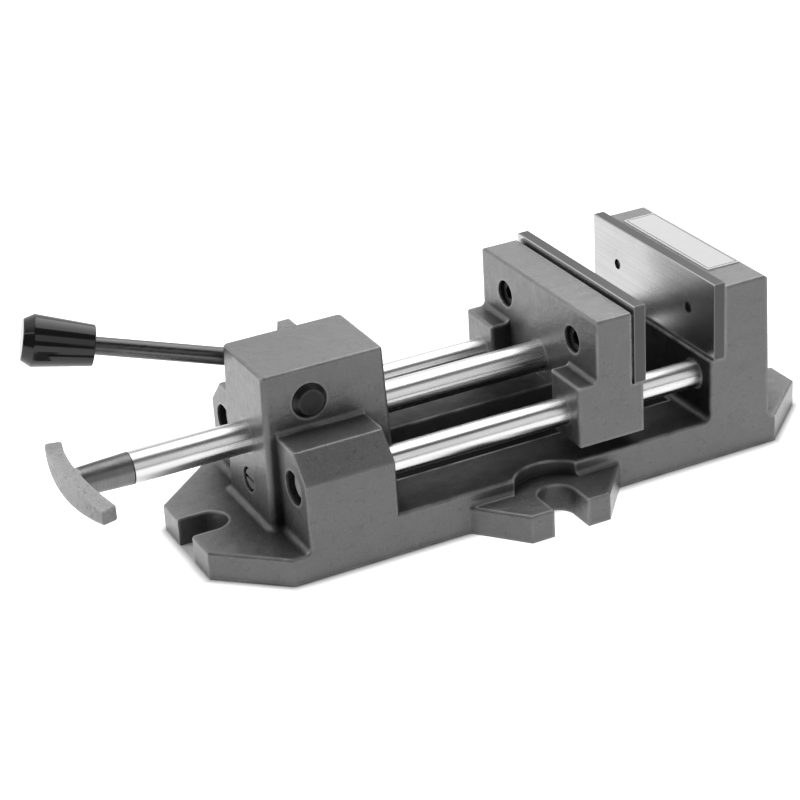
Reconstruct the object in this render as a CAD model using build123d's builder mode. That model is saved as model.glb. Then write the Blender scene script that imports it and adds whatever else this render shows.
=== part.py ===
from build123d import *
from math import atan2, cos, degrees, radians, sin
import os

os.makedirs("parts", exist_ok=True)

# Quick-acting machine vise with jaws 101.6 mm (4 in) wide, in millimetres.
# +X runs from the pull handle to the fixed jaw, +Y to the side of the cam lever, +Z up.
# The origin is the middle of the base, on its underside.

# ---- Base casting ----
JAW_WIDTH = 101.6
HALF_WIDTH = JAW_WIDTH / 2
BASE_LENGTH = 301.0
FOOT_THICKNESS = 13.0
TONGUE_HALF = 25.3            # half-width of each slotted end of the foot
TAPER_X = 122.0               # where the foot's sides start to slant in
EAR_ROOT_X = 38.3
EAR_TIP_X = 19.6
EAR_TIP_Y = 73.2
SLOT_WIDTH = 17.0             # clears a 5/8 in table bolt
END_SLOT_X = 139.0            # centre of each end slot's round bottom
EAR_SLOT_Y = 61.0             # centre of each side slot's round bottom
WASHER_RADIUS = 18.5          # room for a washer beside the side slots
RAIL_TOP = 19.7
ROOT_FILLET = 3.0             # where the walls stand on the foot
CAST_FILLET = 2.5             # other inside corners of the castings, and the housing's corners
EDGE_ROUND = 1.4
CHANNEL_HALF = 22.4           # half-width of the open channel between the rails

# ---- Housing and shoulders of the casting ----
HOUSING_TOP = 84.1
HOUSING_FRONT = -117.2
HOUSING_REAR = -60.2
HOUSING_HALF = 21.2
HOUSING_DRAFT = 2.4           # each wall leans out by this much at the underside
SHOULDER_FRONT = -113.5
SHOULDER_REAR = -71.5
SHOULDER_TOP = 56.3
SHOULDER_SIDE_TOP = 44.9
SHOULDER_FLAT_HALF = 40.1
CAVITY_FRONT = -107.0
CAVITY_REAR = -66.0
CAVITY_HALF = 15.0
CAVITY_TOP = 78.0
CAVITY_ROUND = 3.0

# ---- Fixed jaw ----
FIXED_SEAT_X = 94.1           # where the fixed jaw plate sits
FIXED_LEDGE_X = 86.6          # front of the casting below the plate
FIXED_TOP = 84.2
FIXED_REAR_TOP = 116.5
FIXED_REAR_LOW = 118.3
LEDGE_Z = 49.6
ROOT_ROUND = 3.5
REAR_ROOT = 4.0

# ---- Jaw plates ----
PLATE_THICKNESS = 5.8
PLATE_TOP = 86.6
PLATE_SCREW_Y = 30.0
PLATE_SCREW_Z = 68.0
PLATE_CHAMFER = 0.4
OPENING = 35.8                # between the plates as modelled

# ---- Movable jaw ----
FIXED_PLATE_X = FIXED_SEAT_X - PLATE_THICKNESS
MOVABLE_PLATE_X = FIXED_PLATE_X - OPENING - PLATE_THICKNESS
SLAB_THICKNESS = 19.2
SLAB_REAR = MOVABLE_PLATE_X - SLAB_THICKNESS
SLAB_TOP = 83.9
SLAB_BOTTOM = 38.0
JAW_TOE_X = MOVABLE_PLATE_X + 4.4
SEAT_RELIEF_WIDTH = 1.4       # groove round the plate's seat, along X
SEAT_RELIEF_DEPTH = 2.4
ARCH_ROUND = 4.0              # corners of the arch between the legs
LEG_REAR = 17.9
LEG_INNER = 26.9
LEG_BOTTOM = 25.5
LEG_TOP = 54.6

# ---- Rods ----
GUIDE_RADIUS = 6.35
GUIDE_Y = 37.1
GUIDE_Z = 38.6
GUIDE_START = -110.3
GUIDE_END = 110.0
GUIDE_MOUTH_RADIUS = 7.8      # open mouth round each guide rod's front end
ROD_CHAMFER = 0.8
PULL_RADIUS = 7.15
PULL_Z = 48.6
PULL_END = 43.0               # blind end of the rod, inside the movable jaw
NECK_START = -171.5           # where the handle's neck meets the rod
GUIDE_MOUTH_DEPTH = 6.0
PULL_SPIGOT_RADIUS = 4.0
HANDLE_HALF = 36.0            # half of the handle's span from tip to tip
HANDLE_INNER_HALF = 33.5      # the same, on the side of the neck
HANDLE_OUTER_X = -201.5
HANDLE_INNER_X = -194.5
HANDLE_TIP_OUTER_X = -197.0
HANDLE_TIP_INNER_X = -189.8
HANDLE_HEIGHT = 12.0
HANDLE_TIP_HEIGHT = 6.4
HANDLE_ROUND = 1.2
NECK_END_RADIUS = 6.25
NECK_CHAMFER = 0.5
SPIGOT_LENGTH = 18.0
RUNNING_CLEARANCE = 0.06
SEATED_CLEARANCE = 0.02

# ---- Screws and pins ----
SET_SCREW_RADIUS = 3.0
SET_SCREW_LENGTH = 8.0
SET_SCREW_TIP = 1.0
SET_SCREW_TIP_RADIUS = 2.0
SET_SCREW_HEX = 3.0
SET_SCREW_HEX_DEPTH = 3.5
SET_SCREW_X = (-92.0, 101.0)
PLATE_SCREW_RADIUS = 3.97
PLATE_SCREW_HOLE = 4.2
PLATE_SCREW_BITE = 5.0        # how far each screw reaches into its plate
PLATE_PILOT_RADIUS = 2.5
HEAD_RADIUS = 5.95
HEAD_LENGTH = 7.9
HEAD_HOLE_RADIUS = 6.35
HEAD_HEX = 6.35
HEAD_HEX_DEPTH = 4.0
END_GAP = 0.1                 # air left at the ends of pins, screws and washers
FIXED_HEAD_X = 107.0
JAW_PIN_X = 36.5
JAW_PIN_RADIUS = 2.5
JAW_PIN_TOP = 59.0
HANDLE_PIN_X = -180.0
HANDLE_PIN_HOLE = 1.52
HANDLE_PIN_BOTTOM = 42.0
HANDLE_PIN_LENGTH = 12.0
MOVABLE_HEAD_X = SLAB_REAR + 10.4

# ---- Cam lever ----
CAM_X = -96.4
CAM_Z = 68.7
CAM_RADIUS = 7.8
CAMSHAFT_START_Y = -23.8      # its near end stands a little out of the housing
CAM_CHAMFER = 2.0
CAM_MOUTH_RADIUS = 9.6
CAM_MOUTH_DEPTH = 2.4
LOBE_RADIUS = 6.2
LOBE_OFFSET = 1.5
LOBE_ANGLE = 302.5            # direction of the lobe's centre, from +X towards +Z
LOBE_HALF = 12.5
LEVER_ANGLE = 166.2           # direction of the lever, from +X towards +Z
LEVER_LEAN = 16.0             # how far the lever leans out, away from the base
PIN_ANGLE = 110.0
HUB_INNER_Y = 22.5
HUB_THICKNESS = 8.0
HUB_RADIUS = 10.4
BOSS_RADIUS = 5.2
BOSS_START = 8.0
BOSS_END = 15.5
LUG_OUTLINE = ((8.6, 5.0), (9.8, 14.4), (15.4, 14.4), (16.2, 10.5), (9.5, -4.0), (0, 0))
LEVER_Y = HUB_INNER_Y + HUB_THICKNESS / 2
LEVER_ROD_RADIUS = 4.0
LEVER_THREAD_RADIUS = 3.0
LEVER_ROD_ROOT = 9.2          # the rod's thread ends just clear of the camshaft
KNOB_START = 74.6
KNOB_LENGTH = 31.0
KNOB_CHAMFER = 4.7
KNOB_INNER_RADIUS = 9.1
KNOB_OUTER_RADIUS = 11.6
KNOB_END_RADIUS = 9.1
KNOB_ROUND = 0.6
INSERT_RADIUS = 5.2
INSERT_LENGTH = 18.0
SPOT_FACE_Y = 21.25
SPOT_FACE_RADIUS = 13.0
HUB_PIN_RADIUS = 2.0
RING_Y = 13.2
RING_THICKNESS = 1.0
RING_GROOVE_RADIUS = 6.8
RING_RADIUS = 9.0
RING_MOUTH = 8.0              # width of the ring's open side

# ---- Locking dog ----
DOG_FRONT = -89.0
DOG_THICKNESS = 8.0
DOG_HALF = 11.5
DOG_BOTTOM = 15.0
DOG_TOP = 76.5
DOG_HOLE_RADIUS = 7.55
DOG_ROUND = 2.0
ADJUSTER_Z = 27.5
ADJUSTER_RADIUS = 4.6
ADJUSTER_START = -118.0
ADJUSTER_LENGTH = 25.5
ADJUSTER_SLOT = 1.6
ADJUSTER_SLOT_DEPTH = 1.8
ADJUSTER_TIP_RADIUS = 2.0
ADJUSTER_TIP_LENGTH = 3.35
ADJUSTER_MOUTH_RADIUS = 5.8
ADJUSTER_MOUTH_X = -112.5
SPRING_WIRE_RADIUS = 0.9
SPRING_RADIUS = 9.1
SPRING_COILS = 4.5

# ---- Label ----
LABEL_X = (98.0, 115.4)
LABEL_Y = (-31.4, 40.0)
LABEL_THICKNESS = 0.4
LABEL_ROUND = 0.8

PICK_MARGIN = 0.3             # tolerance when edges are picked by their place
FROM_BOTTOM = (Align.CENTER, Align.CENTER, Align.MIN)


def facing_x(x, y, z, sense=1):
    """A plane facing along +X, or along -X where sense is -1."""
    return Plane(origin=(x, y, z), x_dir=(0, 1, 0), z_dir=(sense, 0, 0))


def facing_y(x, y, z):
    """A plane facing along +Y."""
    return Plane(origin=(x, y, z), x_dir=(1, 0, 0), z_dir=(0, 1, 0))


def radial(distance, angle):
    """A plane facing outwards on a radius of the camshaft, in the middle of the hub."""
    out = (cos(radians(angle)), 0, sin(radians(angle)))
    centre = (CAM_X + distance * out[0], LEVER_Y, CAM_Z + distance * out[2])
    return Plane(origin=centre, x_dir=(0, 1, 0), z_dir=out)


def along_lever(distance):
    """A plane facing outwards along the leaning lever, at a distance from the hub's middle."""
    flat = cos(radians(LEVER_LEAN))
    out = (
        flat * cos(radians(LEVER_ANGLE)),
        sin(radians(LEVER_LEAN)),
        flat * sin(radians(LEVER_ANGLE)),
    )
    centre = (CAM_X + distance * out[0], LEVER_Y + distance * out[1], CAM_Z + distance * out[2])
    return Plane(origin=centre, z_dir=out)


def bar(plane, radius, length, mode=Mode.ADD):
    """A round bar or hole of the open part, from the plane along its normal."""
    with Locations(plane):
        Cylinder(radius, length, align=FROM_BOTTOM, mode=mode)


def cone(plane, start_radius, end_radius, length, mode=Mode.ADD):
    """A round taper of the open part, from the plane along its normal."""
    with Locations(plane):
        Cone(start_radius, end_radius, length, align=FROM_BOTTOM, mode=mode)


def block(x, y, z, mode=Mode.ADD):
    """A rectangular block of the open part, from three pairs of limits."""
    with Locations(((x[0] + x[1]) / 2, (y[0] + y[1]) / 2, (z[0] + z[1]) / 2)):
        Box(x[1] - x[0], y[1] - y[0], z[1] - z[0], mode=mode)


def hex_socket(plane, across_flats, depth):
    """A hexagon socket cut into the open part along the plane's normal."""
    with BuildSketch(plane) as hexagon:
        RegularPolygon(across_flats / 2, 6, major_radius=False)
    extrude(hexagon.sketch, amount=depth, mode=Mode.SUBTRACT)


def edges_in(part, x, y, z):
    """Edges of a part whose middles lie between limits in X, in distance from Y = 0, and in Z."""
    def inside(edge):
        middle = edge.center(CenterOf.BOUNDING_BOX)
        limits = ((middle.X, x), (abs(middle.Y), y), (middle.Z, z))
        return all(low - PICK_MARGIN < place < high + PICK_MARGIN for place, (low, high) in limits)
    return part.edges().filter_by(inside)


# ---- Base casting: foot, ears, rails, shoulders, housing and fixed jaw in one piece ----
with BuildPart() as base_casting:
    # Housing, wider at its foot than at its top
    with BuildSketch(Plane.XY):
        with Locations(((HOUSING_FRONT + HOUSING_REAR) / 2, 0)):
            Rectangle(
                HOUSING_REAR - HOUSING_FRONT + 2 * HOUSING_DRAFT, 2 * (HOUSING_HALF + HOUSING_DRAFT)
            )
    extrude(amount=HOUSING_TOP, taper=degrees(atan2(HOUSING_DRAFT, HOUSING_TOP)))
    fillet(base_casting.edges().group_by(Axis.Z)[1], radius=CAST_FILLET)
    fillet(base_casting.faces().sort_by(Axis.Z)[-1].edges(), radius=EDGE_ROUND)

    # Shoulders that hold the guide rods, one each side of the housing
    with BuildSketch(Plane.YZ.offset(SHOULDER_FRONT)):
        Polygon(
            (-HALF_WIDTH, 0),
            (-HALF_WIDTH, SHOULDER_SIDE_TOP),
            (-SHOULDER_FLAT_HALF, SHOULDER_TOP),
            (SHOULDER_FLAT_HALF, SHOULDER_TOP),
            (HALF_WIDTH, SHOULDER_SIDE_TOP),
            (HALF_WIDTH, 0),
            align=None,
        )
    extrude(amount=SHOULDER_REAR - SHOULDER_FRONT)

    # Fixed jaw, with the round root that runs out onto the rails
    with BuildSketch(Plane.XZ):
        with BuildLine():
            Polyline(
                (FIXED_LEDGE_X, RAIL_TOP + ROOT_ROUND),
                (FIXED_LEDGE_X, LEDGE_Z),
                (FIXED_SEAT_X, LEDGE_Z),
                (FIXED_SEAT_X, FIXED_TOP),
                (FIXED_REAR_TOP, FIXED_TOP),
                (FIXED_REAR_LOW, FOOT_THICKNESS),
                (FIXED_REAR_LOW, 0),
                (FIXED_LEDGE_X - ROOT_ROUND, 0),
                (FIXED_LEDGE_X - ROOT_ROUND, RAIL_TOP),
            )
            RadiusArc(
                (FIXED_LEDGE_X - ROOT_ROUND, RAIL_TOP),
                (FIXED_LEDGE_X, RAIL_TOP + ROOT_ROUND),
                -ROOT_ROUND,
            )
        make_face()
    extrude(amount=HALF_WIDTH, both=True)

    # Foot with its slanted ends, and one ear each side
    with BuildSketch():
        Polygon(
            (-BASE_LENGTH / 2, -TONGUE_HALF),
            (-TAPER_X, -HALF_WIDTH),
            (TAPER_X, -HALF_WIDTH),
            (BASE_LENGTH / 2, -TONGUE_HALF),
            (BASE_LENGTH / 2, TONGUE_HALF),
            (TAPER_X, HALF_WIDTH),
            (-TAPER_X, HALF_WIDTH),
            (-BASE_LENGTH / 2, TONGUE_HALF),
            align=None,
        )
        for side in (-1, 1):
            Polygon(
                (-EAR_ROOT_X, side * HALF_WIDTH),
                (EAR_ROOT_X, side * HALF_WIDTH),
                (EAR_TIP_X, side * EAR_TIP_Y),
                (-EAR_TIP_X, side * EAR_TIP_Y),
                align=None,
            )
    extrude(amount=FOOT_THICKNESS)

    # Rails
    for side in (-1, 1):
        rail_y = sorted((side * CHANNEL_HALF, side * HALF_WIDTH))
        block((SHOULDER_REAR, FIXED_LEDGE_X - ROOT_ROUND), rail_y, (0, RAIL_TOP))

    # Round roots where walls stand on the foot and on the shoulders
    foot_level = (FOOT_THICKNESS, FOOT_THICKNESS)
    front_walls = (HOUSING_FRONT - HOUSING_DRAFT, SHOULDER_FRONT)
    inner_y = (0, HALF_WIDTH - 1)
    side_y = (HALF_WIDTH, HALF_WIDTH)
    shoulder_x = ((SHOULDER_FRONT + SHOULDER_REAR) / 2,) * 2
    fillet(edges_in(base_casting, front_walls, inner_y, foot_level), radius=ROOT_FILLET)
    housing_side = (HOUSING_HALF, HOUSING_HALF + HOUSING_DRAFT)
    fillet(edges_in(base_casting, shoulder_x, housing_side, (SHOULDER_TOP,) * 2), radius=CAST_FILLET)
    ear_x = (-EAR_ROOT_X, EAR_ROOT_X)
    fillet(edges_in(base_casting, ear_x, (HALF_WIDTH + 4, EAR_TIP_Y), foot_level), radius=EDGE_ROUND)
    fillet(edges_in(base_casting, (0, 0), side_y, foot_level), radius=CAST_FILLET)
    fillet(edges_in(base_casting, (FIXED_REAR_LOW,) * 2, (0, 0), foot_level), radius=REAR_ROOT)

    # Softened outer edges of the shoulders, the fixed jaw, the rails and the foot's ends
    shoulder_ends = (SHOULDER_FRONT, SHOULDER_REAR)
    above_rail = (RAIL_TOP + 3, SHOULDER_TOP)
    chamfer_y = (SHOULDER_FLAT_HALF, HALF_WIDTH)
    fillet(edges_in(base_casting, shoulder_ends, chamfer_y, above_rail), radius=EDGE_ROUND)
    jaw_x = (FIXED_SEAT_X + 4, FIXED_REAR_TOP)
    fillet(edges_in(base_casting, jaw_x, (0, HALF_WIDTH), (FIXED_TOP,) * 2), radius=EDGE_ROUND)
    fillet(edges_in(base_casting, (-15, 15), side_y, (RAIL_TOP,) * 2), radius=EDGE_ROUND)
    for end_x in ((-BASE_LENGTH / 2, -TAPER_X - 5), (TAPER_X + 5, BASE_LENGTH / 2)):
        fillet(edges_in(base_casting, end_x, (0, HALF_WIDTH), foot_level), radius=EDGE_ROUND)

    # Channel between the rails, and the cavity for the clamping mechanism, open below
    block(
        (HOUSING_REAR + HOUSING_DRAFT, FIXED_LEDGE_X - ROOT_ROUND),
        (-CHANNEL_HALF, CHANNEL_HALF),
        (0, RAIL_TOP),
        mode=Mode.SUBTRACT,
    )
    with BuildSketch(Plane.XY):
        with Locations(((CAVITY_FRONT + CAVITY_REAR) / 2, 0)):
            RectangleRounded(CAVITY_REAR - CAVITY_FRONT, 2 * CAVITY_HALF, CAVITY_ROUND)
    extrude(amount=CAVITY_TOP, mode=Mode.SUBTRACT)

    # Bolt slots at both ends and in both ears, with room for a washer beside the ears' slots
    for side in (-1, 1):
        bar(Plane((side * END_SLOT_X, 0, 0)), SLOT_WIDTH / 2, FOOT_THICKNESS, Mode.SUBTRACT)
        end_x = sorted((side * END_SLOT_X, side * BASE_LENGTH / 2))
        block(end_x, (-SLOT_WIDTH / 2, SLOT_WIDTH / 2), (0, FOOT_THICKNESS), Mode.SUBTRACT)
        bar(Plane((0, side * EAR_SLOT_Y, 0)), SLOT_WIDTH / 2, FOOT_THICKNESS, Mode.SUBTRACT)
        ear_y = sorted((side * EAR_SLOT_Y, side * EAR_TIP_Y))
        block((-SLOT_WIDTH / 2, SLOT_WIDTH / 2), ear_y, (0, FOOT_THICKNESS), Mode.SUBTRACT)
        bar(Plane((0, side * EAR_SLOT_Y, FOOT_THICKNESS)), WASHER_RADIUS, RAIL_TOP, Mode.SUBTRACT)

    # Bores of the guide rods, and the holes of their set screws, from below
    for side in (-1, 1):
        guide_y = side * GUIDE_Y
        mouth = facing_x(SHOULDER_FRONT, guide_y, GUIDE_Z)
        bar(mouth, GUIDE_RADIUS + SEATED_CLEARANCE, GUIDE_END + 1 - SHOULDER_FRONT, Mode.SUBTRACT)
        bar(mouth, GUIDE_MOUTH_RADIUS, GUIDE_MOUTH_DEPTH, Mode.SUBTRACT)
        for screw_x in SET_SCREW_X:
            screw_radius = SET_SCREW_RADIUS + SEATED_CLEARANCE
            bar(Plane((screw_x, guide_y, 0)), screw_radius, GUIDE_Z - GUIDE_RADIUS, Mode.SUBTRACT)

    # Bores of the pull rod and of the adjusting screw through the housing
    front = HOUSING_FRONT - HOUSING_DRAFT
    housing_length = HOUSING_REAR - HOUSING_FRONT + 2 * HOUSING_DRAFT
    pull_bore = PULL_RADIUS + RUNNING_CLEARANCE
    bar(facing_x(front, 0, PULL_Z), pull_bore, housing_length, Mode.SUBTRACT)
    adjuster_bore = ADJUSTER_RADIUS + SEATED_CLEARANCE
    adjuster_mouth = ADJUSTER_MOUTH_X - front
    bar(facing_x(front, 0, ADJUSTER_Z), adjuster_bore, CAVITY_FRONT - front, Mode.SUBTRACT)
    bar(facing_x(front, 0, ADJUSTER_Z), ADJUSTER_MOUTH_RADIUS, adjuster_mouth, Mode.SUBTRACT)

    # Bore of the camshaft, chamfered on the near side, and the hub's spot face on the far side
    near_wall = -HOUSING_HALF - HOUSING_DRAFT
    cam_mouth = facing_y(CAM_X, near_wall, CAM_Z)
    bar(cam_mouth, CAM_RADIUS + RUNNING_CLEARANCE, SPOT_FACE_Y - near_wall, Mode.SUBTRACT)
    cone(cam_mouth, CAM_MOUTH_RADIUS, CAM_RADIUS, CAM_MOUTH_DEPTH, Mode.SUBTRACT)
    bar(facing_y(CAM_X, SPOT_FACE_Y, CAM_Z), SPOT_FACE_RADIUS, HALF_WIDTH, Mode.SUBTRACT)

    # Holes of the fixed plate's screws, from the rear
    for side in (-1, 1):
        screw_y = side * PLATE_SCREW_Y
        seat = facing_x(FIXED_SEAT_X, screw_y, PLATE_SCREW_Z)
        bar(seat, PLATE_SCREW_HOLE, FIXED_HEAD_X - FIXED_SEAT_X, Mode.SUBTRACT)
        head_hole = facing_x(FIXED_HEAD_X, screw_y, PLATE_SCREW_Z)
        bar(head_hole, HEAD_HOLE_RADIUS, FIXED_REAR_LOW - FIXED_HEAD_X, Mode.SUBTRACT)


# ---- Guide rods ----
with BuildPart() as guide_rod_near:
    bar(facing_x(GUIDE_START, -GUIDE_Y, GUIDE_Z), GUIDE_RADIUS, GUIDE_END - GUIDE_START)
    chamfer(guide_rod_near.edges().filter_by(GeomType.CIRCLE), length=ROD_CHAMFER)

with BuildPart() as guide_rod_far:
    add(mirror(guide_rod_near.part, about=Plane.XZ, mode=Mode.PRIVATE))

with BuildPart() as guide_rod_set_screws:
    for side in (-1, 1):
        for screw_x in SET_SCREW_X:
            tip_z = GUIDE_Z - GUIDE_RADIUS - END_GAP
            foot = Plane((screw_x, side * GUIDE_Y, tip_z - SET_SCREW_LENGTH))
            shank = SET_SCREW_LENGTH - SET_SCREW_TIP
            bar(foot, SET_SCREW_RADIUS, shank)
            cone(foot.offset(shank), SET_SCREW_RADIUS, SET_SCREW_TIP_RADIUS, SET_SCREW_TIP)
            hex_socket(foot, SET_SCREW_HEX, SET_SCREW_HEX_DEPTH)

# ---- Fixed jaw plate and its screws ----
with BuildPart() as fixed_jaw_plate:
    block((FIXED_PLATE_X, FIXED_SEAT_X), (-HALF_WIDTH, HALF_WIDTH), (LEDGE_Z, PLATE_TOP))
    chamfer(fixed_jaw_plate.edges().filter_by(Axis.Y), length=PLATE_CHAMFER)
    for side in (-1, 1):
        centre_y = side * PLATE_SCREW_Y
        face = facing_x(FIXED_PLATE_X, centre_y, PLATE_SCREW_Z)
        bar(face, PLATE_PILOT_RADIUS, PLATE_THICKNESS, Mode.SUBTRACT)
        thread = facing_x(FIXED_SEAT_X, centre_y, PLATE_SCREW_Z, sense=-1)
        bar(thread, PLATE_SCREW_RADIUS + SEATED_CLEARANCE, PLATE_SCREW_BITE, Mode.SUBTRACT)

with BuildPart() as fixed_plate_screws:
    for side in (-1, 1):
        under_head = facing_x(FIXED_HEAD_X, side * PLATE_SCREW_Y, PLATE_SCREW_Z)
        reach = FIXED_HEAD_X - FIXED_SEAT_X + PLATE_SCREW_BITE - END_GAP
        bar(under_head, HEAD_RADIUS, HEAD_LENGTH)
        bar(under_head.offset(-reach), PLATE_SCREW_RADIUS, reach)
        top = facing_x(FIXED_HEAD_X + HEAD_LENGTH, side * PLATE_SCREW_Y, PLATE_SCREW_Z, sense=-1)
        hex_socket(top, HEAD_HEX, HEAD_HEX_DEPTH)

# ---- Movable jaw, riding on both guide rods ----
with BuildPart() as movable_jaw:
    with BuildSketch(Plane.XZ):
        Polygon(
            (SLAB_REAR, SLAB_BOTTOM),
            (JAW_TOE_X, SLAB_BOTTOM),
            (JAW_TOE_X, LEDGE_Z),
            (MOVABLE_PLATE_X, LEDGE_Z),
            (MOVABLE_PLATE_X, SLAB_TOP),
            (SLAB_REAR, SLAB_TOP),
            align=None,
        )
    extrude(amount=HALF_WIDTH, both=True)
    for side in (-1, 1):
        leg_y = sorted((side * LEG_INNER, side * HALF_WIDTH))
        block((LEG_REAR, JAW_TOE_X), leg_y, (LEG_BOTTOM, LEDGE_Z))
        block((LEG_REAR, SLAB_REAR), leg_y, (LEDGE_Z, LEG_TOP))
    # Round junctions of the legs with the slab, and softened outer edges
    slab_face = (SLAB_REAR, SLAB_REAR)
    leg_face = (LEG_REAR, LEG_REAR)
    any_y = (0, HALF_WIDTH)
    fillet(edges_in(movable_jaw, slab_face, any_y, (LEG_TOP, LEG_TOP)), radius=CAST_FILLET)
    arch_corner = (LEG_INNER, LEG_INNER)
    fillet(edges_in(movable_jaw, (LEG_REAR, JAW_TOE_X), arch_corner, (SLAB_BOTTOM,) * 2), radius=ARCH_ROUND)
    fillet(edges_in(movable_jaw, leg_face, any_y, (LEG_BOTTOM, LEG_TOP)), radius=EDGE_ROUND)
    top_level = (SLAB_TOP, SLAB_TOP)
    fillet(edges_in(movable_jaw, (SLAB_REAR, MOVABLE_PLATE_X - 1), any_y, top_level), radius=EDGE_ROUND)
    # Groove round the seat of the jaw plate
    relief_x = (MOVABLE_PLATE_X - SEAT_RELIEF_WIDTH, MOVABLE_PLATE_X)
    relief_z = (SLAB_TOP - SEAT_RELIEF_DEPTH, SLAB_TOP)
    block(relief_x, (-HALF_WIDTH, HALF_WIDTH), relief_z, Mode.SUBTRACT)
    for side in (-1, 1):
        relief_y = sorted((side * (HALF_WIDTH - SEAT_RELIEF_DEPTH), side * HALF_WIDTH))
        block(relief_x, relief_y, (LEDGE_Z, SLAB_TOP), Mode.SUBTRACT)
    # Bores of the guide rods, of the pull rod and of the plate's screws
    for side in (-1, 1):
        guide = facing_x(LEG_REAR, side * GUIDE_Y, GUIDE_Z)
        bar(guide, GUIDE_RADIUS + RUNNING_CLEARANCE, JAW_TOE_X - LEG_REAR, Mode.SUBTRACT)
        rear = facing_x(SLAB_REAR, side * PLATE_SCREW_Y, PLATE_SCREW_Z)
        bar(rear, PLATE_SCREW_HOLE, SLAB_THICKNESS, Mode.SUBTRACT)
        bar(rear, HEAD_HOLE_RADIUS, MOVABLE_HEAD_X - SLAB_REAR, Mode.SUBTRACT)
    rod_bore = facing_x(SLAB_REAR, 0, PULL_Z)
    bar(rod_bore, PULL_RADIUS + SEATED_CLEARANCE, PULL_END - SLAB_REAR, Mode.SUBTRACT)
    pin_hole = Plane((JAW_PIN_X, 0, SLAB_BOTTOM))
    bar(pin_hole, JAW_PIN_RADIUS + SEATED_CLEARANCE, JAW_PIN_TOP - SLAB_BOTTOM, Mode.SUBTRACT)

with BuildPart() as movable_jaw_plate:
    plate_end = MOVABLE_PLATE_X + PLATE_THICKNESS
    block((MOVABLE_PLATE_X, plate_end), (-HALF_WIDTH, HALF_WIDTH), (LEDGE_Z, PLATE_TOP))
    chamfer(movable_jaw_plate.edges().filter_by(Axis.Y), length=PLATE_CHAMFER)
    for side in (-1, 1):
        seat = facing_x(MOVABLE_PLATE_X, side * PLATE_SCREW_Y, PLATE_SCREW_Z)
        bar(seat, PLATE_PILOT_RADIUS, PLATE_THICKNESS, Mode.SUBTRACT)
        bar(seat, PLATE_SCREW_RADIUS + SEATED_CLEARANCE, PLATE_SCREW_BITE, Mode.SUBTRACT)

with BuildPart() as movable_plate_screws:
    for side in (-1, 1):
        under_head = facing_x(MOVABLE_HEAD_X, side * PLATE_SCREW_Y, PLATE_SCREW_Z, sense=-1)
        reach = MOVABLE_PLATE_X - MOVABLE_HEAD_X + PLATE_SCREW_BITE - END_GAP
        bar(under_head, HEAD_RADIUS, HEAD_LENGTH)
        bar(under_head.offset(-reach), PLATE_SCREW_RADIUS, reach)
        top = facing_x(MOVABLE_HEAD_X - HEAD_LENGTH, side * PLATE_SCREW_Y, PLATE_SCREW_Z)
        hex_socket(top, HEAD_HEX, HEAD_HEX_DEPTH)

# ---- Pull rod, its handle and the pins at its two ends ----
with BuildPart() as pull_rod:
    bar(facing_x(NECK_START, 0, PULL_Z), PULL_RADIUS, PULL_END - END_GAP - NECK_START)
    bar(facing_x(NECK_START, 0, PULL_Z, sense=-1), PULL_SPIGOT_RADIUS, SPIGOT_LENGTH)
    jaw_pin_hole = Plane((JAW_PIN_X, 0, SLAB_BOTTOM))
    bar(jaw_pin_hole, JAW_PIN_RADIUS + SEATED_CLEARANCE, JAW_PIN_TOP - SLAB_BOTTOM, Mode.SUBTRACT)
    bar(Plane((HANDLE_PIN_X, 0, HANDLE_PIN_BOTTOM)), HANDLE_PIN_HOLE, HANDLE_PIN_LENGTH, Mode.SUBTRACT)

with BuildPart() as pull_rod_pin:
    pin_length = JAW_PIN_TOP - SLAB_BOTTOM - 2 * END_GAP
    bar(Plane((JAW_PIN_X, 0, SLAB_BOTTOM + END_GAP)), JAW_PIN_RADIUS, pin_length)

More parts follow.
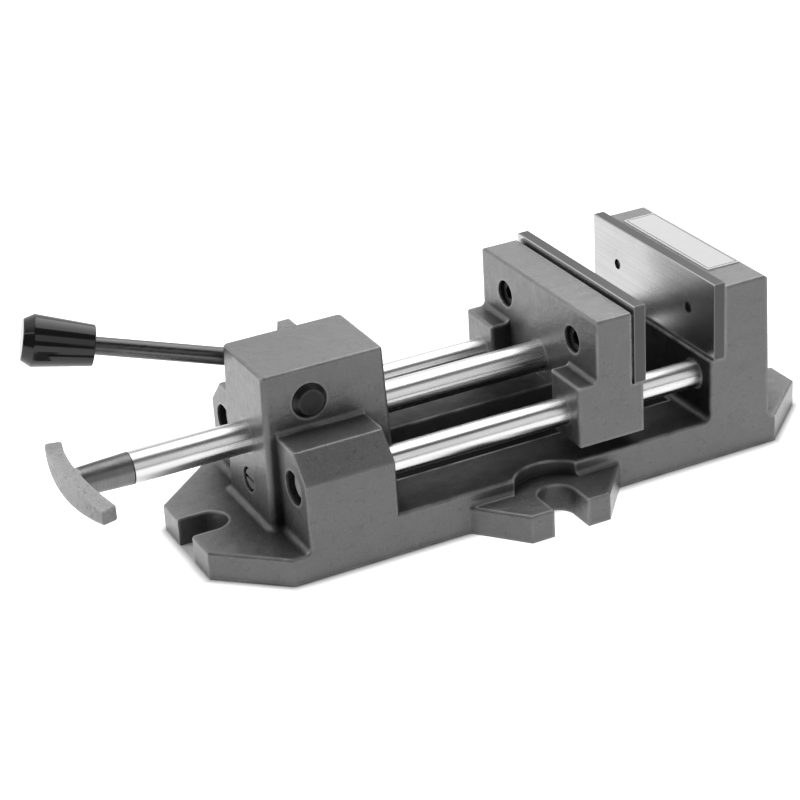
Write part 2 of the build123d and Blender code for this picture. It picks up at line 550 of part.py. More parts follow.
with BuildPart() as pull_handle:
    # Crescent, thick in the middle and slim at its two tips
    with BuildSketch(Plane.XY.offset(PULL_Z - HANDLE_HEIGHT / 2)):
        with BuildLine():
            outer = ThreePointArc(
                (HANDLE_TIP_OUTER_X, -HANDLE_HALF), (HANDLE_OUTER_X, 0), (HANDLE_TIP_OUTER_X, HANDLE_HALF)
            )
            inner = ThreePointArc(
                (HANDLE_TIP_INNER_X, -HANDLE_INNER_HALF),
                (HANDLE_INNER_X, 0),
                (HANDLE_TIP_INNER_X, HANDLE_INNER_HALF),
            )
            Line(outer @ 0, inner @ 0)
            Line(outer @ 1, inner @ 1)
        make_face()
    extrude(amount=HANDLE_HEIGHT)
    with BuildSketch(Plane.YZ.offset(HANDLE_OUTER_X)) as handle_side:
        with BuildLine():
            upper = ThreePointArc(
                (-HANDLE_HALF, PULL_Z + HANDLE_TIP_HEIGHT / 2),
                (0, PULL_Z + HANDLE_HEIGHT / 2),
                (HANDLE_HALF, PULL_Z + HANDLE_TIP_HEIGHT / 2),
            )
            lower = ThreePointArc(
                (-HANDLE_HALF, PULL_Z - HANDLE_TIP_HEIGHT / 2),
                (0, PULL_Z - HANDLE_HEIGHT / 2),
                (HANDLE_HALF, PULL_Z - HANDLE_TIP_HEIGHT / 2),
            )
            Line(upper @ 0, lower @ 0)
            Line(upper @ 1, lower @ 1)
        make_face()
    extrude(handle_side.sketch, amount=HANDLE_HALF, mode=Mode.INTERSECT)
    fillet(pull_handle.edges(), radius=HANDLE_ROUND)
    # Neck that takes the rod's spigot, and the hole of its pin
    neck = facing_x(NECK_START, 0, PULL_Z, sense=-1)
    neck_length = NECK_START - HANDLE_INNER_X - NECK_CHAMFER + HANDLE_ROUND
    cone(neck, PULL_RADIUS - NECK_CHAMFER, PULL_RADIUS, NECK_CHAMFER)
    cone(neck.offset(NECK_CHAMFER), PULL_RADIUS, NECK_END_RADIUS, neck_length)
    bar(neck, PULL_SPIGOT_RADIUS + SEATED_CLEARANCE, SPIGOT_LENGTH + END_GAP, Mode.SUBTRACT)
    bar(Plane((HANDLE_PIN_X, 0, 0)), HANDLE_PIN_HOLE, HANDLE_PIN_BOTTOM + HANDLE_PIN_LENGTH, Mode.SUBTRACT)

with BuildPart() as pull_handle_pin:
    pin_foot = Plane((HANDLE_PIN_X, 0, HANDLE_PIN_BOTTOM + END_GAP))
    bar(pin_foot, HANDLE_PIN_HOLE - SEATED_CLEARANCE, HANDLE_PIN_LENGTH - 2 * END_GAP)

# ---- Camshaft with its eccentric lobe, and the ring that keeps it in the housing ----
with BuildPart() as camshaft:
    shaft_length = HUB_INNER_Y + HUB_THICKNESS - CAMSHAFT_START_Y
    bar(facing_y(CAM_X, CAMSHAFT_START_Y, CAM_Z), CAM_RADIUS, shaft_length)
    chamfer(camshaft.edges().filter_by(GeomType.CIRCLE).sort_by(Axis.Y)[0], length=CAM_CHAMFER)
    bar(facing_y(CAM_X, -LOBE_HALF, CAM_Z), CAM_RADIUS + 1, 2 * LOBE_HALF, Mode.SUBTRACT)
    lobe_x = CAM_X + LOBE_OFFSET * cos(radians(LOBE_ANGLE))
    lobe_z = CAM_Z + LOBE_OFFSET * sin(radians(LOBE_ANGLE))
    bar(facing_y(lobe_x, -LOBE_HALF, lobe_z), LOBE_RADIUS, 2 * LOBE_HALF)
    with BuildSketch(facing_y(CAM_X, RING_Y, CAM_Z)) as groove:
        Circle(CAM_RADIUS + 1)
        Circle(RING_GROOVE_RADIUS, mode=Mode.SUBTRACT)
    extrude(groove.sketch, amount=RING_THICKNESS, mode=Mode.SUBTRACT)
    pin_start = radial(-HUB_RADIUS, PIN_ANGLE)
    bar(pin_start, HUB_PIN_RADIUS + SEATED_CLEARANCE, 2 * HUB_RADIUS, Mode.SUBTRACT)

with BuildPart() as camshaft_ring:
    with BuildSketch(facing_y(CAM_X, RING_Y + END_GAP / 2, CAM_Z)):
        Circle(RING_RADIUS)
        Circle(RING_GROOVE_RADIUS + SEATED_CLEARANCE, mode=Mode.SUBTRACT)
        with Locations((-RING_RADIUS, 0)):
            Rectangle(2 * RING_RADIUS, RING_MOUTH, mode=Mode.SUBTRACT)
    extrude(amount=RING_THICKNESS - END_GAP)

with BuildPart() as hub_washer:
    with BuildSketch(facing_y(CAM_X, SPOT_FACE_Y + END_GAP, CAM_Z)):
        Circle(HUB_RADIUS)
        Circle(CAM_RADIUS + RUNNING_CLEARANCE, mode=Mode.SUBTRACT)
    extrude(amount=HUB_INNER_Y - SPOT_FACE_Y - END_GAP)

# ---- Lever: hub with its stop lug, pin, rod, insert and knob ----
with BuildPart() as lever_hub:
    bar(facing_y(CAM_X, HUB_INNER_Y, CAM_Z), HUB_RADIUS, HUB_THICKNESS)
    with BuildSketch(Plane.XZ.offset(-HUB_INNER_Y)) as lug:
        with Locations((CAM_X, CAM_Z)):
            Polygon(*LUG_OUTLINE, align=None)
    extrude(lug.sketch, amount=-HUB_THICKNESS)
    bar(along_lever(BOSS_START), BOSS_RADIUS, BOSS_END - BOSS_START)
    hub_bore = facing_y(CAM_X, HUB_INNER_Y, CAM_Z)
    bar(hub_bore, CAM_RADIUS + SEATED_CLEARANCE, 2 * HUB_THICKNESS, Mode.SUBTRACT)
    thread_radius = LEVER_THREAD_RADIUS + SEATED_CLEARANCE
    bar(along_lever(0), thread_radius, BOSS_END, Mode.SUBTRACT)
    bar(pin_start, HUB_PIN_RADIUS + SEATED_CLEARANCE, 2 * HUB_RADIUS, Mode.SUBTRACT)

with BuildPart() as hub_pin:
    bar(radial(END_GAP - HUB_RADIUS, PIN_ANGLE), HUB_PIN_RADIUS, 2 * (HUB_RADIUS - END_GAP))

with BuildPart() as lever_rod:
    bar(along_lever(BOSS_END), LEVER_ROD_RADIUS, KNOB_START - BOSS_END)
    bar(along_lever(LEVER_ROD_ROOT), LEVER_THREAD_RADIUS, BOSS_END - LEVER_ROD_ROOT)
    bar(along_lever(KNOB_START), LEVER_THREAD_RADIUS, INSERT_LENGTH - END_GAP)

with BuildPart() as knob_insert:
    bar(along_lever(KNOB_START), INSERT_RADIUS, INSERT_LENGTH)
    bar(along_lever(KNOB_START), thread_radius, INSERT_LENGTH, Mode.SUBTRACT)

with BuildPart() as lever_knob:
    taper_length = KNOB_LENGTH - KNOB_CHAMFER
    cone(along_lever(KNOB_START), KNOB_INNER_RADIUS, KNOB_OUTER_RADIUS, taper_length)
    chamfer_start = along_lever(KNOB_START + taper_length)
    cone(chamfer_start, KNOB_OUTER_RADIUS, KNOB_END_RADIUS, KNOB_CHAMFER)
    fillet(lever_knob.edges().filter_by(GeomType.CIRCLE), radius=KNOB_ROUND)
    insert_hole = INSERT_RADIUS + SEATED_CLEARANCE
    bar(along_lever(KNOB_START), insert_hole, INSERT_LENGTH + END_GAP, Mode.SUBTRACT)

# ---- Locking dog round the pull rod, its adjusting screw and its return spring ----
with BuildPart() as locking_dog:
    block((DOG_FRONT, DOG_FRONT + DOG_THICKNESS), (-DOG_HALF, DOG_HALF), (DOG_BOTTOM, DOG_TOP))
    fillet(locking_dog.edges().filter_by(Axis.X), radius=DOG_ROUND)
    bar(facing_x(DOG_FRONT, 0, PULL_Z), DOG_HOLE_RADIUS, DOG_THICKNESS, Mode.SUBTRACT)

with BuildPart() as adjusting_screw:
    screw_start = facing_x(ADJUSTER_START, 0, ADJUSTER_Z)
    bar(screw_start, ADJUSTER_RADIUS, ADJUSTER_LENGTH)
    cone(screw_start.offset(ADJUSTER_LENGTH), ADJUSTER_RADIUS, ADJUSTER_TIP_RADIUS, ADJUSTER_TIP_LENGTH)
    slot_x = (ADJUSTER_START, ADJUSTER_START + ADJUSTER_SLOT_DEPTH)
    slot_z = (ADJUSTER_Z - ADJUSTER_SLOT / 2, ADJUSTER_Z + ADJUSTER_SLOT / 2)
    block(slot_x, (-ADJUSTER_RADIUS, ADJUSTER_RADIUS), slot_z, Mode.SUBTRACT)

with BuildPart() as dog_spring:
    spring_start = DOG_FRONT + DOG_THICKNESS + END_GAP
    spring_length = CAVITY_REAR - spring_start
    with BuildLine():
        coil = Helix(
            pitch=spring_length / SPRING_COILS,
            height=spring_length,
            radius=SPRING_RADIUS,
            center=(spring_start, 0, PULL_Z),
            direction=(1, 0, 0),
        )
    with BuildSketch(Plane(origin=coil @ 0, z_dir=coil % 0)):
        Circle(SPRING_WIRE_RADIUS)
    sweep(is_frenet=True)
    room = (PULL_Z - 2 * SPRING_RADIUS, PULL_Z + 2 * SPRING_RADIUS)
    block((spring_start, CAVITY_REAR), (-2 * SPRING_RADIUS, 2 * SPRING_RADIUS), room, Mode.INTERSECT)

# ---- Blank label on top of the fixed jaw ----
with BuildPart() as label_plate:
    block(LABEL_X, LABEL_Y, (FIXED_TOP, FIXED_TOP + LABEL_THICKNESS))
    fillet(label_plate.edges().filter_by(Axis.Z), radius=LABEL_ROUND)

PIECES = {
    "base_casting": base_casting,
    "guide_rod_near": guide_rod_near,
    "guide_rod_far": guide_rod_far,
    "guide_rod_set_screws": guide_rod_set_screws,
    "fixed_jaw_plate": fixed_jaw_plate,
    "fixed_plate_screws": fixed_plate_screws,
    "label_plate": label_plate,
    "movable_jaw": movable_jaw,
    "movable_jaw_plate": movable_jaw_plate,
    "movable_plate_screws": movable_plate_screws,
    "pull_rod": pull_rod,
    "pull_rod_pin": pull_rod_pin,
    "pull_handle": pull_handle,
    "pull_handle_pin": pull_handle_pin,
    "camshaft": camshaft,
    "camshaft_ring": camshaft_ring,
    "hub_washer": hub_washer,
    "lever_hub": lever_hub,
    "hub_pin": hub_pin,
    "lever_rod": lever_rod,
    "knob_insert": knob_insert,
    "lever_knob": lever_knob,
    "locking_dog": locking_dog,
    "adjusting_screw": adjusting_screw,
    "dog_spring": dog_spring,
}

for name, piece in PIECES.items():
    piece.part.label = name
    export_step(piece.part, f"parts/{name}.step")
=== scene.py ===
"""Looks of a quick-acting machine vise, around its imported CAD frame."""

import math

import bpy
from mathutils import Matrix, Vector


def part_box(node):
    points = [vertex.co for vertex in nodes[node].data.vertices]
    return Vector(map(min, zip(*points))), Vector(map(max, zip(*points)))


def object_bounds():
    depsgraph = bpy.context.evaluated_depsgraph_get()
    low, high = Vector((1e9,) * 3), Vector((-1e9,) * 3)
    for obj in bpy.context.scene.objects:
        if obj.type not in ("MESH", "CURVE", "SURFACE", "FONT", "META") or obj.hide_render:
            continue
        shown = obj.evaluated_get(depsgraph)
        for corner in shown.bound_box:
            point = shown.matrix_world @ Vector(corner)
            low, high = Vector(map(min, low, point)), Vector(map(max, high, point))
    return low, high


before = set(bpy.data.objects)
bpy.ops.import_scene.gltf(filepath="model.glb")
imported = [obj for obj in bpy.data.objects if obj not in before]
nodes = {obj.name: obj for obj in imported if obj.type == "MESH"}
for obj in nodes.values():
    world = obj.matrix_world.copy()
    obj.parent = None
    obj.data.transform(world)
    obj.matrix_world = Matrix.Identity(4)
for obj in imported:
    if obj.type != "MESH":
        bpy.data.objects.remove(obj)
cad_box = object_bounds()

# ---- Camera ----
EYE = Vector((-0.43296, -0.82068, 0.49621))
TARGET = Vector((-0.03347, 0.02183, 0.03334))
ROLL = math.radians(-3.6245)
LENS = 102.83
SENSOR_WIDTH = 36.0
CLIP_START, CLIP_END = 0.01, 50.0


def add_camera():
    """A long lens from the pull handle's end, above the near side, slightly rolled."""
    camera = bpy.data.objects.new("camera", bpy.data.cameras.new("camera"))
    camera.data.lens = LENS
    camera.data.sensor_width = SENSOR_WIDTH
    camera.data.clip_start = CLIP_START
    camera.data.clip_end = CLIP_END
    forward = (TARGET - EYE).normalized()
    right = forward.cross(Vector((0, 0, 1))).normalized()
    up = right.cross(forward)
    turned_right = right * math.cos(ROLL) + up * math.sin(ROLL)
    turned_up = up * math.cos(ROLL) - right * math.sin(ROLL)
    turn = Matrix((turned_right, turned_up, -forward)).transposed()
    camera.matrix_world = Matrix.Translation(EYE) @ turn.to_4x4()
    bpy.context.scene.collection.objects.link(camera)
    bpy.context.scene.camera = camera


# ---- Node graphs ----
NOISE_SPAN = (0.3, 0.7)
BEVEL_SAMPLES = 4
RECESS_SAMPLES = 6


class Graph:
    """A material's node tree with short calls for the nodes used here."""

    def __init__(self, name):
        self.material = bpy.data.materials.new(name)
        self.material.use_nodes = True
        self.tree = self.material.node_tree
        self.shader = self.tree.nodes["Principled BSDF"]
        self.place = self.add("ShaderNodeTexCoord").outputs["Object"]

    def add(self, kind, **settings):
        """A new node with these settings."""
        node = self.tree.nodes.new(kind)
        for key, value in settings.items():
            setattr(node, key, value)
        return node

    def put(self, value, socket):
        """Links an output into a socket, or sets the socket's own value."""
        if isinstance(value, bpy.types.NodeSocket):
            self.tree.links.new(value, socket)
        else:
            socket.default_value = value

    def set(self, **sockets):
        """Puts values or outputs into the shader's sockets, named with underscores for spaces."""
        for key, value in sockets.items():
            self.put(value, self.shader.inputs[key.replace("_", " ")])

    def math(self, operation, a, b=0.5, clamp=False):
        """One operation on two numbers, or on the first alone."""
        node = self.add("ShaderNodeMath", operation=operation, use_clamp=clamp)
        self.put(a, node.inputs[0])
        self.put(b, node.inputs[1])
        return node.outputs[0]

    def stretched(self, scale):
        """Object coordinates scaled along each axis."""
        node = self.add("ShaderNodeMapping")
        self.put(self.place, node.inputs["Vector"])
        node.inputs["Scale"].default_value = scale
        return node.outputs["Vector"]

    def noise(self, scale, detail=3.0, roughness=0.5, vector=None):
        """Noise over the piece, with scale features to a metre unless a stretched vector is given."""
        node = self.add("ShaderNodeTexNoise")
        self.put(vector or self.place, node.inputs["Vector"])
        node.inputs["Scale"].default_value = scale
        node.inputs["Detail"].default_value = detail
        node.inputs["Roughness"].default_value = roughness
        return node.outputs["Fac"]

    def remap(self, value, low, high, to_low, to_high):
        """Takes the range from low to high onto another, and holds its ends beyond."""
        node = self.add("ShaderNodeMapRange")
        self.put(value, node.inputs["Value"])
        for key, number in (("From Min", low), ("From Max", high), ("To Min", to_low), ("To Max", to_high)):
            node.inputs[key].default_value = number
        return node.outputs["Result"]

    def spread(self, noise, to_low, to_high):
        """Takes the middle range that a noise mostly stays in onto another."""
        return self.remap(noise, *NOISE_SPAN, to_low, to_high)

    def mix(self, factor, first, second):
        """A colour between two colours."""
        node = self.add("ShaderNodeMix", data_type="RGBA")
        self.put(factor, node.inputs["Factor"])
        colours = [socket for socket in node.inputs if socket.type == "RGBA"]
        for value, socket in zip((first, second), colours):
            self.put(value if isinstance(value, bpy.types.NodeSocket) else (*value, 1.0), socket)
        return next(socket for socket in node.outputs if socket.type == "RGBA")

    def rounded(self, radius):
        """Normal that turns smoothly over edges, as if they were rounded."""
        bevel = self.add("ShaderNodeBevel", samples=BEVEL_SAMPLES)
        bevel.inputs["Radius"].default_value = radius
        return bevel.outputs["Normal"]

    def hidden(self, distance, inside=False):
        """How much of this piece's own surface stands near a point: 0 in the open, towards 1 in recesses.

        With inside=True it looks into the metal, so that it rises along outer edges instead.
        """
        node = self.add("ShaderNodeAmbientOcclusion", samples=RECESS_SAMPLES, inside=inside, only_local=True)
        node.inputs["Distance"].default_value = distance
        return self.math("SUBTRACT", 1.0, node.outputs["AO"])

    def along(self, axis):
        """Object coordinate along one axis."""
        split = self.add("ShaderNodeSeparateXYZ")
        self.put(self.place, split.inputs[0])
        return split.outputs[axis]

    def away(self, axis, level):
        """Distance from a level along one axis."""
        return self.math("ABSOLUTE", self.math("SUBTRACT", self.along(axis), level))

    def facing(self, axis):
        """How squarely the surface faces along one of the piece's axes, from 0 to 1."""
        turned = self.add(
            "ShaderNodeVectorTransform", vector_type="NORMAL", convert_from="WORLD", convert_to="OBJECT"
        )
        self.put(self.add("ShaderNodeNewGeometry").outputs["True Normal"], turned.inputs[0])
        split = self.add("ShaderNodeSeparateXYZ")
        self.put(turned.outputs[0], split.inputs[0])
        return self.math("ABSOLUTE", split.outputs[axis])

    def bump(self, height, distance, normal=None):
        """Normal of a surface that rises by up to this distance where height is 1."""
        node = self.add("ShaderNodeBump")
        node.inputs["Strength"].default_value = 1.0
        node.inputs["Distance"].default_value = distance
        self.put(height, node.inputs["Height"])
        if normal is not None:
            self.put(normal, node.inputs["Normal"])
        return node.outputs["Normal"]


# ---- Materials ----
X, Y, Z = 0, 1, 2

# Lengths in metres
CORNER_SHADE_REACH = 0.012     # how far from a corner the painted shade reaches
DEEP_SHADE_REACH = 0.055    # and how wide a recess still gets the deep painted shade
CASTING_EDGE = 0.0016   # widths of the edges painted lighter, as wear and highlight
PLATE_EDGE = 0.0008
BLACKENED_EDGE = 0.0022
NECK_LENGTH = 0.0235    # turned neck of the pull handle, up to the rod
NECK_HALF = 0.0076
NECK_BLEND = 0.0015     # over which the paint gives way to the neck's bare metal
RAIL_TOP = 0.0197       # the rails' tops, near black with painted shade
LEDGE_X = 0.0866        # the fixed jaw's face below its plate, near black with painted shade
SHADE_BAND = 0.002        # how far from those two levels that painted shade fades out
LABEL_INSET = 0.0010    # the label's dark line, from its edge
LABEL_LINE = 0.0005


def grey(value):
    """A neutral colour."""
    return (value, value, value)


def casting_tone(g, shade, worn_and_highlit_shade):
    """(colour, sand, lumps, deep painted shade) of cast iron.

    It is mottled, with painted shade near its corners, deep painted shade in its recesses, on the rails'
    tops and on the ledge below the fixed plate, and edges painted lighter: partly rubbed wear, partly a
    painted highlight.
    """
    blotch = g.noise(26.0, detail=5.0, roughness=0.6)
    sand = g.noise(1000.0, detail=2.0, roughness=0.6)
    lumps = g.noise(170.0, detail=3.0)
    body = g.mix(g.remap(blotch, 0.34, 0.66, 0.0, 1.0), grey(shade * 0.82), grey(shade * 1.12))
    body = g.mix(g.remap(lumps, 0.55, 0.75, 0.0, 0.5), body, grey(shade * 0.62))
    body = g.mix(g.remap(sand, 0.5, 0.75, 0.0, 0.45), body, grey(shade * 1.9))
    body = g.mix(g.remap(g.noise(420.0, detail=3.0), 0.62, 0.70, 0.0, 0.7), body, grey(shade * 0.35))
    # Painted shade: darker near the piece's own corners and creases, broken up by the lumps
    corner_shade = g.math("MULTIPLY", g.hidden(CORNER_SHADE_REACH), g.spread(lumps, 0.6, 1.1), clamp=True)
    body = g.mix(corner_shade, body, grey(shade * 0.28))
    # Painted shade, deep: recesses, the rails' tops and the ledge below the fixed plate go near black
    deep_shade = g.remap(g.hidden(DEEP_SHADE_REACH), 0.12, 0.55, 0.0, 0.92)
    for axis, level, most in ((Z, RAIL_TOP, 0.75), (X, LEDGE_X, 0.95)):
        near = g.remap(g.away(axis, level), 0.0, SHADE_BAND, most, 0.0)
        deep_shade = g.math("MAXIMUM", deep_shade, g.math("MULTIPLY", near, g.facing(axis)))
    body = g.mix(deep_shade, body, grey(shade * 0.12))
    # Edges painted lighter: partly rubbed wear, partly a painted highlight
    edge = g.remap(g.hidden(CASTING_EDGE, inside=True), 0.06, 0.30, 0.0, 1.0)
    rubbed_and_highlit = g.math("MULTIPLY", edge, g.remap(g.noise(80.0, detail=4.0), 0.36, 0.6, 0.3, 1.0), clamp=True)
    return g.mix(rubbed_and_highlit, body, grey(worn_and_highlit_shade)), sand, lumps, deep_shade


def painted_casting(name, shade, worn_and_highlit_shade, grain=1.0):
    """Satin paint over as-cast iron: sandy grain, soft blotches, painted shade in its corners and recesses,
    and edges painted lighter as rubbed wear and a painted highlight.
    """
    g = Graph(name)
    tone, sand, lumps, deep_shade = casting_tone(g, shade, worn_and_highlit_shade)
    g.set(
        Base_Color=tone,
        # Where the painted shade is deep, the paint turns metal, rougher and uncoated, so that its
        # reflection goes near black too
        Metallic=g.remap(deep_shade, 0.2, 1.0, 0.0, 0.85),
        Roughness=g.math("ADD", g.spread(lumps, 0.30, 0.42), g.math("MULTIPLY", deep_shade, 0.35)),
        Specular_IOR_Level=1.0,
        Coat_Weight=g.remap(deep_shade, 0.0, 0.8, 0.6, 0.0),
        Coat_Roughness=0.25,
    )
    grained = g.bump(sand, 0.00016 * grain, g.rounded(0.0008))
    g.set(Normal=g.bump(lumps, 0.0005 * grain, grained))
    return g.material


def handle_casting(name, shade, worn_and_highlit_shade):
    """The pull handle: a painted crescent, and a neck turned to bare metal."""
    g = Graph(name)
    tone, sand, lumps, _ = casting_tone(g, shade, worn_and_highlit_shade)
    neck_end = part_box("pull_handle")[1][X]
    neck_start = neck_end - NECK_LENGTH
    beside = g.math("LESS_THAN", g.math("ABSOLUTE", g.along(Y)), NECK_HALF)
    beyond_start = g.remap(g.along(X), neck_start, neck_start + NECK_BLEND, 0.0, 1.0)
    bare = g.math("MULTIPLY", beyond_start, beside, clamp=True)
    turned = g.noise(1.0, detail=3.0, vector=g.stretched((1500.0, 40.0, 40.0)))
    metal = g.mix(turned, grey(0.13), grey(0.22))
    g.set(
        Base_Color=g.mix(bare, tone, metal),
        Metallic=bare,
        Specular_IOR_Level=0.8,
        Roughness=g.math("SUBTRACT", g.spread(lumps, 0.42, 0.54), g.math("MULTIPLY", bare, 0.12)),
        Normal=g.bump(sand, 0.00006, g.rounded(0.0006)),
    )
    return g.material


def drawn_bar(name, shade, rough=(0.20, 0.32)):
    """Bright round bar with fine streaks along its length, and dull sawn ends."""
    g = Graph(name)
    streak = g.noise(1.0, detail=4.0, roughness=0.6, vector=g.stretched((6.0, 900.0, 900.0)))
    tangent = g.add("ShaderNodeTangent", direction_type="RADIAL", axis="X").outputs["Tangent"]
    smear = g.noise(35.0, detail=2.0)
    tone = g.mix(g.spread(streak, 0.0, 1.0), grey(shade * 0.72), grey(shade))
    sawn = g.remap(g.facing(X), 0.5, 0.7, 0.0, 1.0)
    worn = g.math("ADD", g.spread(streak, *rough), g.remap(smear, 0.4, 0.8, 0.0, 0.06))
    g.set(
        Base_Color=g.mix(sawn, tone, grey(shade * 0.5)),
        Metallic=g.remap(sawn, 0.0, 1.0, 1.0, 0.2),
        Anisotropic=0.7,
        Anisotropic_Rotation=0.25,
        Tangent=tangent,
        Roughness=g.math("ADD", worn, g.math("MULTIPLY", sawn, 0.3)),
        Normal=g.bump(streak, 0.00002),
    )
    return g.material


def ground_plate(name, shade):
    """Surface-ground steel: fine straight grinding lines, faint blotches of oil, darker and rougher faces
    where they don't face along X, and edges painted a little lighter as wear and a painted highlight.
    """
    g = Graph(name)
    lines = g.noise(1.0, detail=3.0, roughness=0.65, vector=g.stretched((900.0, 14.0, 1500.0)))
    blotch = g.noise(30.0, detail=5.0, roughness=0.6)
    tone = g.mix(g.spread(lines, 0.0, 1.0), grey(shade * 0.90), grey(shade * 1.05))
    tone = g.mix(g.remap(blotch, 0.45, 0.75, 0.0, 0.3), tone, grey(shade * 0.6))
    # Faces that don't face along X are made darker and rougher
    off_jaw_face = g.remap(g.facing(X), 0.2, 0.6, 1.0, 0.0)
    tone = g.mix(off_jaw_face, tone, grey(shade * 0.17))
    # Edges painted a little lighter: partly wear, partly a painted highlight
    edge = g.remap(g.hidden(PLATE_EDGE, inside=True), 0.15, 0.5, 0.0, 0.3)
    g.set(
        Base_Color=g.mix(edge, tone, grey(min(shade * 1.2, 0.9))),
        Metallic=1.0,
        Roughness=g.math("ADD", g.spread(blotch, 0.22, 0.30), g.math("MULTIPLY", off_jaw_face, 0.16)),
        Normal=g.bump(lines, 0.00001),
    )
    return g.material


def blackened_steel(name, shade, worn_and_highlit_shade, metallic=0.7):
    """Black-oxide steel, a little brighter along its edges: partly rubbed wear, partly a painted highlight.
    """
    g = Graph(name)
    # Edges painted brighter: partly wear, partly a painted highlight
    edge = g.remap(g.hidden(BLACKENED_EDGE, inside=True), 0.10, 0.45, 0.0, 1.0)
    patch = g.noise(160.0, detail=4.0)
    fine = g.noise(1600.0, detail=2.0)
    tone = g.mix(g.remap(patch, 0.35, 0.7, 0.0, 1.0), grey(shade * 0.7), grey(shade * 1.4))
    g.set(
        Base_Color=g.mix(edge, tone, grey(worn_and_highlit_shade)),
        Metallic=metallic,
        Roughness=g.spread(patch, 0.3, 0.48),
        Normal=g.bump(fine, 0.00002),
    )
    return g.material


def phenolic(name):
    """Polished black phenolic moulding with very fine swirl marks."""
    g = Graph(name)
    swirl = g.noise(500.0, detail=3.0)
    haze = g.noise(60.0, detail=2.0)
    g.set(
        Base_Color=g.mix(haze, grey(0.003), grey(0.008)),
        Roughness=g.spread(haze, 0.08, 0.16),
        Normal=g.bump(swirl, 0.000008),
        Specular_IOR_Level=0.5,
    )
    return g.material


def coloured_metal(name, colour, rough):
    """Turned metal of a colour."""
    g = Graph(name)
    turned = g.noise(1.0, detail=2.0, vector=g.stretched((1400.0, 60.0, 60.0)))
    dark = tuple(channel * 0.75 for channel in colour)
    g.set(
        Base_Color=g.mix(turned, dark, colour),
        Metallic=1.0,
        Roughness=g.spread(turned, rough, rough + 0.12),
        Normal=g.bump(turned, 0.00002),
    )
    return g.material


def label_face(name):
    """Blank white label with a thin dark line inside its edge."""
    g = Graph(name)
    low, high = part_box("label_plate")
    depths = []
    for axis in (X, Y):
        middle, half = (low[axis] + high[axis]) / 2, (high[axis] - low[axis]) / 2
        depths.append(g.math("SUBTRACT", half, g.away(axis, middle)))
    depth = g.math("MINIMUM", *depths)
    past_inset = g.math("GREATER_THAN", depth, LABEL_INSET)
    before_paper = g.math("LESS_THAN", depth, LABEL_INSET + LABEL_LINE)
    border = g.math("MULTIPLY", past_inset, before_paper)
    dust = g.noise(220.0, detail=4.0)
    paper = g.mix(g.remap(dust, 0.5, 0.75, 0.0, 0.3), grey(0.95), grey(0.84))
    g.set(Base_Color=g.mix(border, paper, grey(0.10)), Roughness=g.spread(dust, 0.3, 0.42))
    return g.material


def paint(material, *names):
    """Gives these CAD nodes one material."""
    for name in names:
        mesh = nodes[name].data
        mesh.materials.clear()
        mesh.materials.append(material)


# ---- Stage ----
FLOOR_HALF = 6.0
FLOOR_DROP = 0.0002            # floor below the foot, so that their faces don't meet
FLOOR_BOUNCE = 0.30            # how pale the floor is to the vise's dull surfaces
FLOOR_MIRRORED = 0.60          # and in its bright ones
FLOOR_GLOW = 1.0               # light given off by the floor beyond the foot
FLOOR_FADE = 0.006             # over which that light rises from the foot's outline
BASE_HALF = (0.150, 0.050)     # half of the vise's foot, in X and in Y
FOOT_SLANT = (0.895, 0.160)    # the foot's cut corners: 0.895 |x| + |y| = 0.160
SHADOW_HALF = (0.110, 0.026)  # half of the painted shadow on the floor that shows through the channel, in X and in Y
SHADOW_FADE = 0.003
PAINTED_SHADOW_GREY = 0.03
LIGHTS_AIM = Vector((0, 0, 0.04))
BACKDROP_SPAN = (-0.1, 0.35)   # Y of the directions over which the mirrored backdrop turns pale
WHITE = (1.0, 1.0, 1.0, 1.0)


def add_floor():
    """A wide pale floor under the vise, with a painted shadow beneath its channel."""
    mesh = bpy.data.meshes.new("floor")
    corners = [(x * FLOOR_HALF, y * FLOOR_HALF, 0) for x, y in ((-1, -1), (1, -1), (1, 1), (-1, 1))]
    mesh.from_pydata(corners, [], [(0, 1, 2, 3)])
    floor = bpy.data.objects.new("floor", mesh)
    floor.location.z = cad_box[0][Z] - FLOOR_DROP
    g = Graph("floor")
    path = g.add("ShaderNodeLightPath")
    seen = path.outputs["Is Camera Ray"]
    paper = g.mix(g.noise(3.0), grey(0.90), grey(0.92))
    unseen = g.mix(path.outputs["Is Glossy Ray"], grey(FLOOR_BOUNCE), grey(FLOOR_MIRRORED))

    def beyond(half, fade, most):
        """0 inside a rectangle of the floor with the foot's cut corners, rising to a value beyond it."""
        off = [g.math("ABSOLUTE", g.along(axis)) for axis in (X, Y)]
        gap = g.math("MAXIMUM", *(g.math("SUBTRACT", off[axis], half[axis]) for axis in (X, Y)))
        slope, reach = FOOT_SLANT
        slanted = g.math("ADD", g.math("MULTIPLY", off[X], slope), off[Y])
        gap = g.math("MAXIMUM", gap, g.math("SUBTRACT", slanted, reach))
        return g.remap(gap, 0.0, fade, 0.0, most)

    # As if lit by the studio's white walls, but not beneath the vise
    lit_again = beyond(BASE_HALF, FLOOR_FADE, FLOOR_GLOW)
    mirrored_or_seen = g.math("MAXIMUM", seen, path.outputs["Is Glossy Ray"])
    # Painted shadow: under the channel the floor is near black to every ray
    g.set(
        Base_Color=g.mix(
            beyond(SHADOW_HALF, SHADOW_FADE, 1.0), grey(PAINTED_SHADOW_GREY), g.mix(seen, unseen, paper)
        ),
        Roughness=0.85,
        Specular_IOR_Level=0.2,
        Emission_Color=WHITE,
        Emission_Strength=g.math("MULTIPLY", lit_again, mirrored_or_seen),
    )
    mesh.materials.append(g.material)
    bpy.context.scene.collection.objects.link(floor)


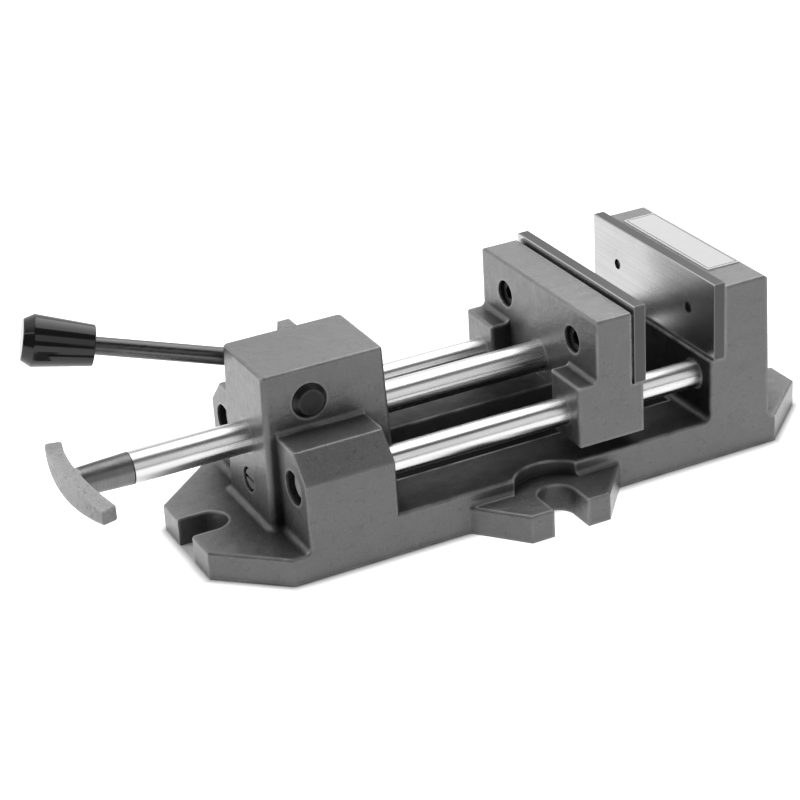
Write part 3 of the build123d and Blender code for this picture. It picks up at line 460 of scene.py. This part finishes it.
def add_light(name, direction, distance, size, radiance, seen_by=("diffuse", "glossy")):
    """A soft rectangular light in a direction from the vise, aimed at it and unseen by the camera."""
    data = bpy.data.lights.new(name, "AREA")
    data.shape = "RECTANGLE"
    data.size, data.size_y = size
    data.energy = radiance * math.pi * size[0] * size[1]
    light = bpy.data.objects.new(name, data)
    light.location = LIGHTS_AIM + Vector(direction).normalized() * distance
    light.rotation_euler = (LIGHTS_AIM - light.location).to_track_quat("-Z", "Y").to_euler()
    light.visible_camera = False
    light.visible_diffuse = "diffuse" in seen_by
    light.visible_glossy = "glossy" in seen_by
    bpy.context.scene.collection.objects.link(light)


def add_world(ambient, backdrop, mirrored):
    """Dim walls for the light, a pale backdrop for the camera, and a graded one that the vise mirrors."""
    world = bpy.data.worlds.new("studio")
    world.use_nodes = True
    tree = world.node_tree
    path = tree.nodes.new("ShaderNodeLightPath").outputs

    def blend(factor, low, high, span=(0.0, 1.0)):
        """From low to high as the factor crosses its span."""
        node = tree.nodes.new("ShaderNodeMapRange")
        node.inputs["From Min"].default_value, node.inputs["From Max"].default_value = span
        for value, socket in ((factor, "Value"), (low, "To Min"), (high, "To Max")):
            if isinstance(value, bpy.types.NodeSocket):
                tree.links.new(value, node.inputs[socket])
            else:
                node.inputs[socket].default_value = value
        return node.outputs["Result"]

    direction = tree.nodes.new("ShaderNodeSeparateXYZ")
    tree.links.new(tree.nodes.new("ShaderNodeTexCoord").outputs["Generated"], direction.inputs[0])
    behind = blend(direction.outputs["Y"], *mirrored, span=BACKDROP_SPAN)
    strength = blend(path["Is Camera Ray"], blend(path["Is Glossy Ray"], ambient, behind), backdrop)
    background = tree.nodes["Background"]
    tree.links.new(strength, background.inputs["Strength"])
    background.inputs["Color"].default_value = WHITE
    bpy.context.scene.world = world


add_camera()
bpy.context.scene.view_settings.view_transform = "Standard"
add_world(ambient=0.16, backdrop=0.95, mirrored=(0.15, 0.98))
add_light("overhead", (0.38, 0.29, 0.88), 1.2, (0.95, 1.4), 1.9)
add_light("key", (-0.8, 0.25, 0.5), 1.2, (0.7, 0.7), 3.0)
add_light("front_card", (0.38, -0.80, 0.45), 1.2, (1.2, 0.9), 0.8, ("glossy",))
add_light("front_fill", (0.25, -0.95, 0.12), 1.2, (1.2, 0.9), 0.8, ("diffuse",))
add_floor()

paint(painted_casting("casting", 0.105, 0.42), "base_casting", "movable_jaw")
paint(handle_casting("handle_casting", 0.46, 0.62), "pull_handle")
paint(painted_casting("hub_casting", 0.12, 0.40, 0.6), "lever_hub")
paint(drawn_bar("bright_bar", 0.86), "guide_rod_near", "guide_rod_far", "pull_rod")
paint(drawn_bar("dark_bar", 0.13, (0.24, 0.36)), "lever_rod")
paint(ground_plate("ground_steel", 0.50), "fixed_jaw_plate", "movable_jaw_plate", "hub_washer")
paint(
    blackened_steel("black_oxide", 0.022, 0.12),
    "fixed_plate_screws", "movable_plate_screws", "guide_rod_set_screws",
    "camshaft", "hub_pin", "pull_rod_pin", "pull_handle_pin", "locking_dog",
)
# The adjusting screw: blackened steel in a lighter grey
paint(blackened_steel("light_black_oxide", 0.20, 0.36, 0.6), "adjusting_screw")
paint(phenolic("phenolic"), "lever_knob")
paint(coloured_metal("brass", (0.72, 0.50, 0.20), 0.2), "knob_insert")
paint(coloured_metal("spring_steel", grey(0.30), 0.28), "dog_spring", "camshaft_ring")
paint(label_face("label"), "label_plate")
